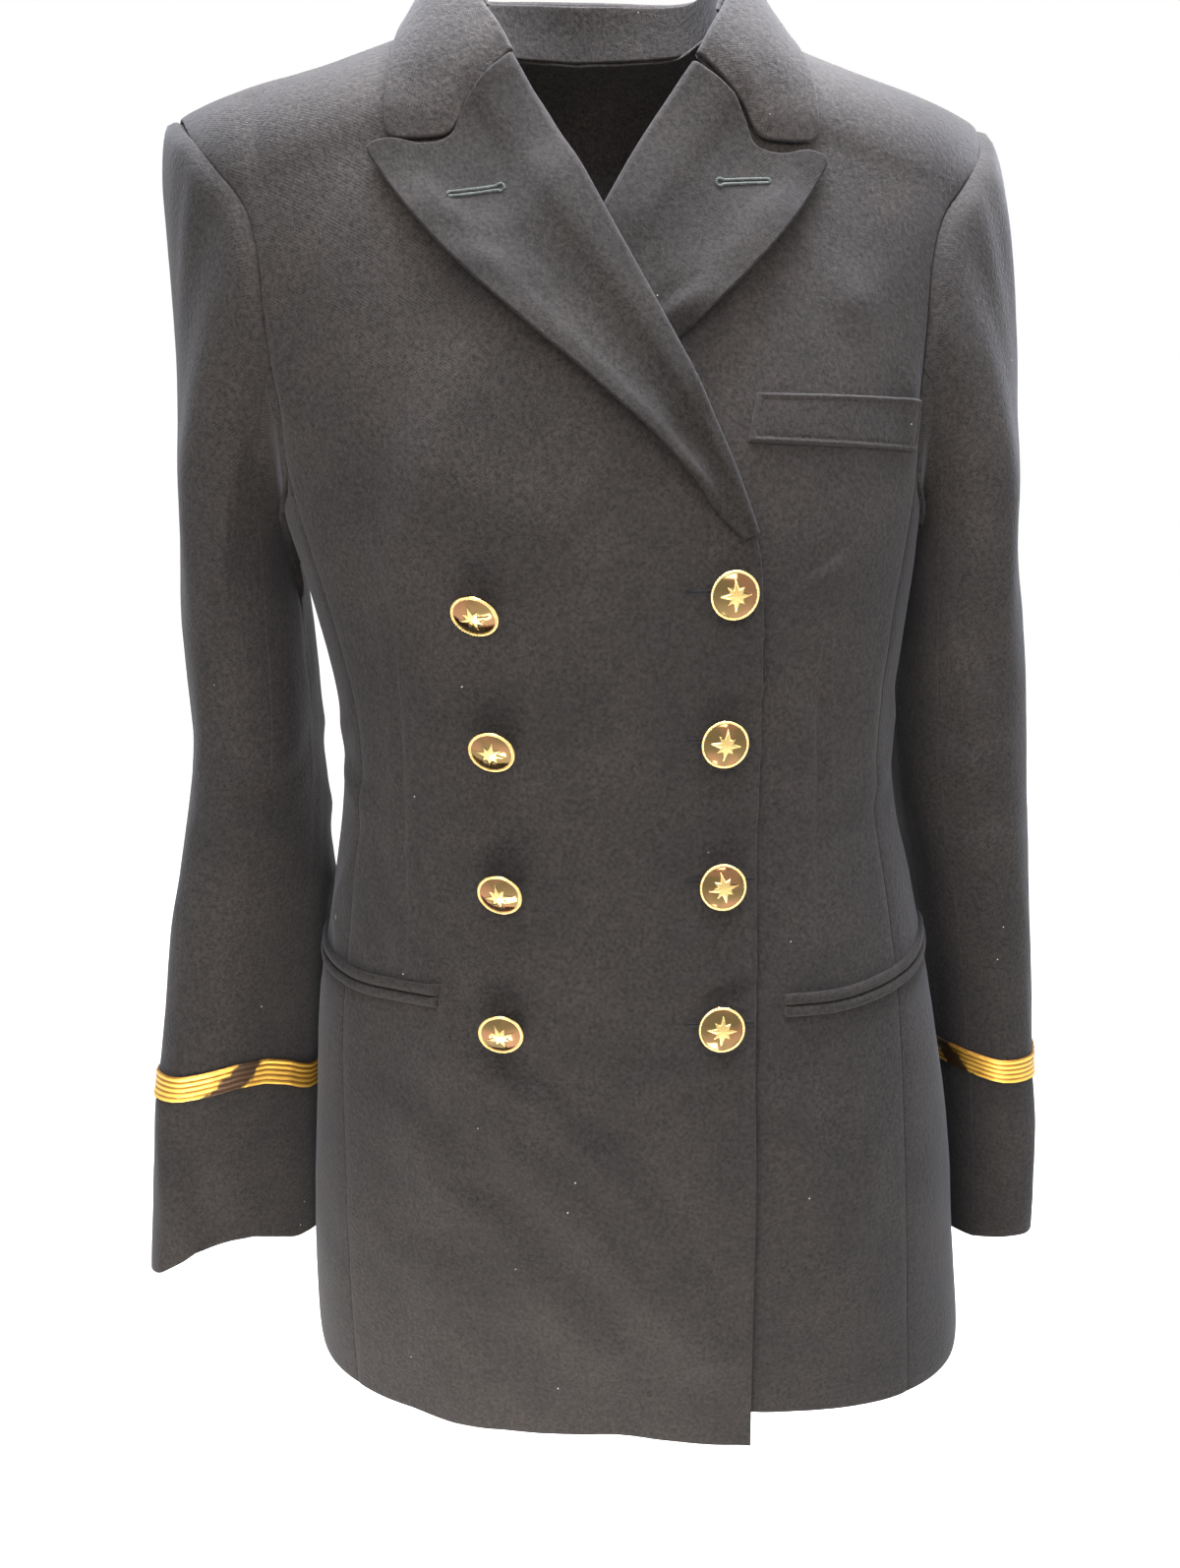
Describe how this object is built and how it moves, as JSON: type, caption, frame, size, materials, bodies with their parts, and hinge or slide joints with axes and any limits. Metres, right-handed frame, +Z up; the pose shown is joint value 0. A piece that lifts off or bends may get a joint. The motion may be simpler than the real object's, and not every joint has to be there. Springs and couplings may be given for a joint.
{
  "type": "naval uniform jacket",
  "caption": "Double-breasted dark wool uniform jacket with peak lapels, gilt domed buttons, jetted hip pockets, a breast welt and a gold lace ring on each sleeve, in its worn shape.",
  "frame": {"origin": "the middle between the two shoulders, at the height of the neck points, where the wearer's shoulders carry the jacket", "axes": "+X towards the wearer's left, -Y out of the front, +Z up"},
  "size_m": [0.514, 0.2433, 0.7519],
  "materials": {
    "navy_wool": "milled twill wool, matt",
    "gold_lace": "woven metal lace",
    "gilt_brass": "polished gilt"
  },
  "bodies": {
    "root": {"front_right": "navy_wool", "side_right": "navy_wool", "back_right": "navy_wool", "lapel_right": "navy_wool", "sleeve_upper_right": "navy_wool", "sleeve_under_right": "navy_wool", "front_left": "navy_wool", "side_left": "navy_wool", "back_left": "navy_wool", "lapel_left": "navy_wool", "sleeve_upper_left": "navy_wool", "sleeve_under_left": "navy_wool", "breast_welt": "navy_wool", "collar_fall": "navy_wool", "collar_stand": "navy_wool", "hip_jet_upper_right": "navy_wool", "hip_jet_lower_right": "navy_wool", "hip_jet_upper_left": "navy_wool", "hip_jet_lower_left": "navy_wool", "lace_right": "gold_lace", "lace_left": "gold_lace", "button_left_1": "gilt_brass", "button_left_2": "gilt_brass", "button_left_3": "gilt_brass", "button_left_4": "gilt_brass", "button_right_1": "gilt_brass", "button_right_2": "gilt_brass", "button_right_3": "gilt_brass", "button_right_4": "gilt_brass"}
  },
  "joints": []
}
